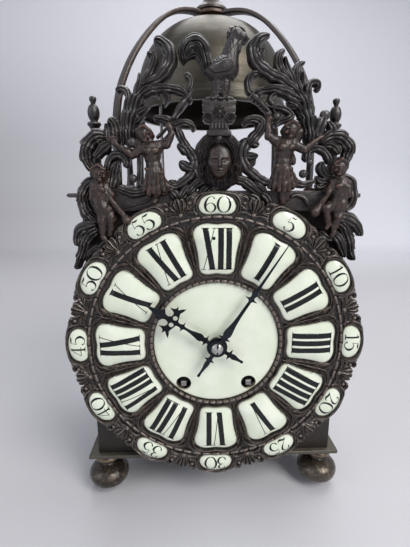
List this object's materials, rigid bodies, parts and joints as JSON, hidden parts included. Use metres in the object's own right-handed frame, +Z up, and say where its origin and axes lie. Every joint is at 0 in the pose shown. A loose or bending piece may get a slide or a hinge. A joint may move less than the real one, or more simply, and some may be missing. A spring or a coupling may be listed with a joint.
{
  "type": "lantern-style bracket clock",
  "caption": "Bracket clock in dark cast bronze: hollow case on bun feet, round dial with enamel plaques, pierced figural cresting, strap arch over a bell.",
  "frame": {"origin": "centre of the overall bounding box, on the plane the feet stand on", "axes": "+Z up, front of the dial faces -Y, +X to the right seen from the front"},
  "size_m": [0.2256, 0.2, 0.4404],
  "materials": {
    "dark_bronze": "dark brown-black patina on cast bronze",
    "brown_bronze": "worn brown patina on cast bronze",
    "case_iron": "dark brown browned sheet iron",
    "bell_metal": "grey-olive bell bronze",
    "enamel": "glossy cream-white fired enamel on copper",
    "blued_steel": "black-blue tempered steel",
    "movement_brass": "plain brass",
    "bright_steel": "bright steel",
    "leather": "brown leather washer"
  },
  "bodies": {
    "case": {"base_plate": "dark_bronze", "top_plate": "dark_bronze", "cresting": "dark_bronze", "dial_frame": "dark_bronze", "foot_front_left": "dark_bronze", "foot_front_right": "dark_bronze", "foot_rear_left": "dark_bronze", "foot_rear_right": "dark_bronze", "finial_front_left": "dark_bronze", "finial_front_right": "dark_bronze", "finial_rear_left": "dark_bronze", "finial_rear_right": "dark_bronze", "bell_strap": "brown_bronze", "bell_cap": "brown_bronze", "case_front": "case_iron", "rear_post_left": "case_iron", "rear_post_right": "case_iron", "bell": "bell_metal", "centre_disc": "enamel", "hour_plaque_1": "enamel", "hour_plaque_2": "enamel", "hour_plaque_3": "enamel", "hour_plaque_4": "enamel", "hour_plaque_5": "enamel", "hour_plaque_6": "enamel", "hour_plaque_7": "enamel", "hour_plaque_8": "enamel", "hour_plaque_9": "enamel", "hour_plaque_10": "enamel", "hour_plaque_11": "enamel", "hour_plaque_12": "enamel", "minute_plaque_5": "enamel", "minute_plaque_10": "enamel", "minute_plaque_15": "enamel", "minute_plaque_20": "enamel", "minute_plaque_25": "enamel", "minute_plaque_30": "enamel", "minute_plaque_35": "enamel", "minute_plaque_40": "enamel", "minute_plaque_45": "enamel", "minute_plaque_50": "enamel", "minute_plaque_55": "enamel", "minute_plaque_60": "enamel", "movement_front_plate": "movement_brass", "movement_back_plate": "movement_brass", "bell_stud": "bright_steel", "bell_washer": "leather"},
    "left_door": {"left_door": "case_iron"},
    "right_door": {"right_door": "case_iron"},
    "back_door": {"back_door": "case_iron"},
    "minute_hand_and_arbor": {"minute_hand": "blued_steel", "centre_arbor": "movement_brass", "hand_nut": "bright_steel"},
    "hour_hand_and_wheel": {"hour_hand": "blued_steel", "hour_wheel": "movement_brass"},
    "minute_wheel": {"minute_wheel": "movement_brass"},
    "strike_barrel": {"strike_barrel": "movement_brass"},
    "going_barrel": {"going_barrel": "movement_brass"},
    "pendulum": {"pendulum": "movement_brass"},
    "hammer": {"hammer": "bright_steel"}
  },
  "joints": [
    {"name": "left_door_hinge", "type": "hinge", "parent": "case", "child": "left_door", "pos_m": [-0.09645, 0.0806, 0.1385], "axis": [0, 0, 1], "range_deg": [-100, 0]},
    {"name": "right_door_hinge", "type": "hinge", "parent": "case", "child": "right_door", "pos_m": [0.09645, 0.0806, 0.1385], "axis": [0, 0, 1], "range_deg": [0, 100]},
    {"name": "back_door_hinge", "type": "hinge", "parent": "case", "child": "back_door", "pos_m": [0.0873, 0.08975, 0.1385], "axis": [0, 0, 1], "range_deg": [-100, 0]},
    {"name": "minute_hand_turn", "type": "hinge", "parent": "case", "child": "minute_hand_and_arbor", "pos_m": [0, -0.087, 0.1385], "axis": [0, 1, 0], "continuous": true},
    {"name": "hour_hand_turn", "type": "hinge", "parent": "case", "child": "hour_hand_and_wheel", "pos_m": [0, -0.087, 0.1385], "axis": [0, 1, 0], "continuous": true},
    {"name": "minute_wheel_turn", "type": "hinge", "parent": "case", "child": "minute_wheel", "pos_m": [0, -0.087, 0.1585], "axis": [0, 1, 0], "continuous": true},
    {"name": "strike_winding", "type": "hinge", "parent": "case", "child": "strike_barrel", "pos_m": [-0.02502, -0.087, 0.10589], "axis": [0, 1, 0], "continuous": true},
    {"name": "going_winding", "type": "hinge", "parent": "case", "child": "going_barrel", "pos_m": [0.02502, -0.087, 0.10589], "axis": [0, 1, 0], "continuous": true},
    {"name": "pendulum_swing", "type": "hinge", "parent": "case", "child": "pendulum", "pos_m": [0, -0.0164, 0.1825], "axis": [0, 1, 0], "range_deg": [-4, 4]},
    {"name": "hammer_strike", "type": "hinge", "parent": "case", "child": "hammer", "pos_m": [-0.04, -0.0204, 0.1685], "axis": [0, 1, 0], "range_deg": [0, 7]}
  ],
  "couplings": [
    {"joint": "hour_hand_turn", "follows": "minute_hand_turn", "ratio": 0.083333},
    {"joint": "minute_wheel_turn", "follows": "minute_hand_turn", "ratio": -0.33333}
  ]
}
